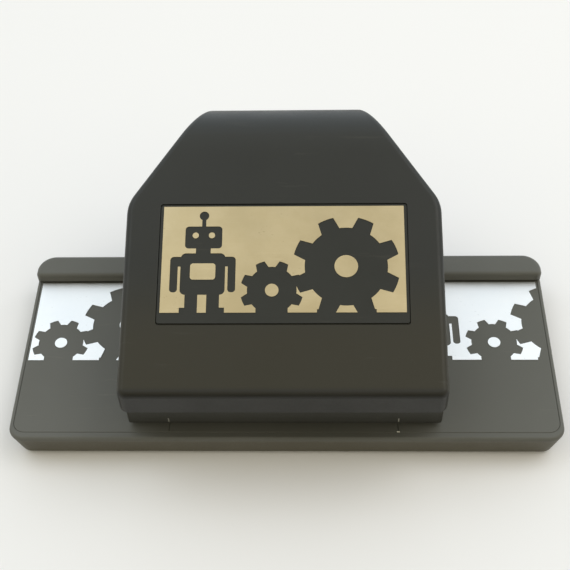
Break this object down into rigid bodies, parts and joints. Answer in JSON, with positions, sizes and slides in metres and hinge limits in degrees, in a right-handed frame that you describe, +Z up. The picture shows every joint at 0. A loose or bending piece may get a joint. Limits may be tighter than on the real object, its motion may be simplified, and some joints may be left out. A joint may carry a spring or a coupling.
{
  "type": "edger craft punch",
  "caption": "Press-down edger punch: a wide lever over a spring-loaded die head on a long flat base with a paper fence and patterned alignment windows.",
  "frame": {"origin": "under the middle of the whole punch's footprint, on the plane of the rubber feet", "axes": "+X along the base and the paper's edge, +Y from the user's side to the back, +Z up"},
  "size_m": [0.154, 0.088, 0.06],
  "materials": {
    "base_plastic": "fine matt moulded, mid grey",
    "housing_plastic": "fine matt moulded, dark grey",
    "lever_plastic": "satin moulded, warm dark grey",
    "label_black": "satin printed film",
    "champagne_foil": "satin champagne foil, lightly scratched",
    "silver_foil": "bright silver foil",
    "white_ink": "printed",
    "tool_steel": "ground",
    "zinc_steel": "zinc plated",
    "carrier_acetal": "natural white moulding",
    "bronze": "sintered",
    "spring_steel": "drawn wire",
    "ground_steel": "ground and polished",
    "feet_rubber": "soft matt"
  },
  "bodies": {
    "base": {"base_tray": "base_plastic", "deck_panel": "base_plastic", "fence_rail_left": "base_plastic", "fence_rail_right": "base_plastic", "foil_left": "silver_foil", "foil_right": "silver_foil", "alignment_marks": "white_ink", "die_plate": "tool_steel", "throat_spacer": "zinc_steel", "guide_plate": "tool_steel", "guide_posts": "ground_steel", "return_springs": "spring_steel", "upper_housing": "housing_plastic", "housing_screws": "zinc_steel", "frame_screws": "zinc_steel", "rail_screws": "zinc_steel", "tray_screws": "zinc_steel", "rubber_feet": "feet_rubber", "hinge_pin": "ground_steel", "hinge_clips": "spring_steel"},
    "lever": {"lever_shell": "lever_plastic", "lever_label": "label_black", "lever_foil": "champagne_foil", "press_bracket": "zinc_steel", "bracket_screws": "zinc_steel", "drive_pin": "ground_steel", "drive_clips": "spring_steel"},
    "punch": {"punch_cutter": "tool_steel", "punch_carrier": "carrier_acetal", "carrier_screws": "zinc_steel", "guide_bushes": "bronze"}
  },
  "joints": [
    {"name": "lever_hinge", "type": "hinge", "parent": "base", "child": "lever", "pos_m": [0, -0.031, 0.023], "axis": [1, 0, 0], "range_deg": [-15, 0], "stiffness_Nm_per_rad": 3.5, "springref_deg": 8.59},
    {"name": "punch_slide", "type": "slide", "parent": "base", "child": "punch", "axis": [0, 0, 1], "range_m": [-0.0084, 0], "deforming": ["return_springs"]}
  ],
  "couplings": [
    {"joint": "punch_slide", "follows": "lever_hinge", "m_per_rad": 0.031546}
  ]
}
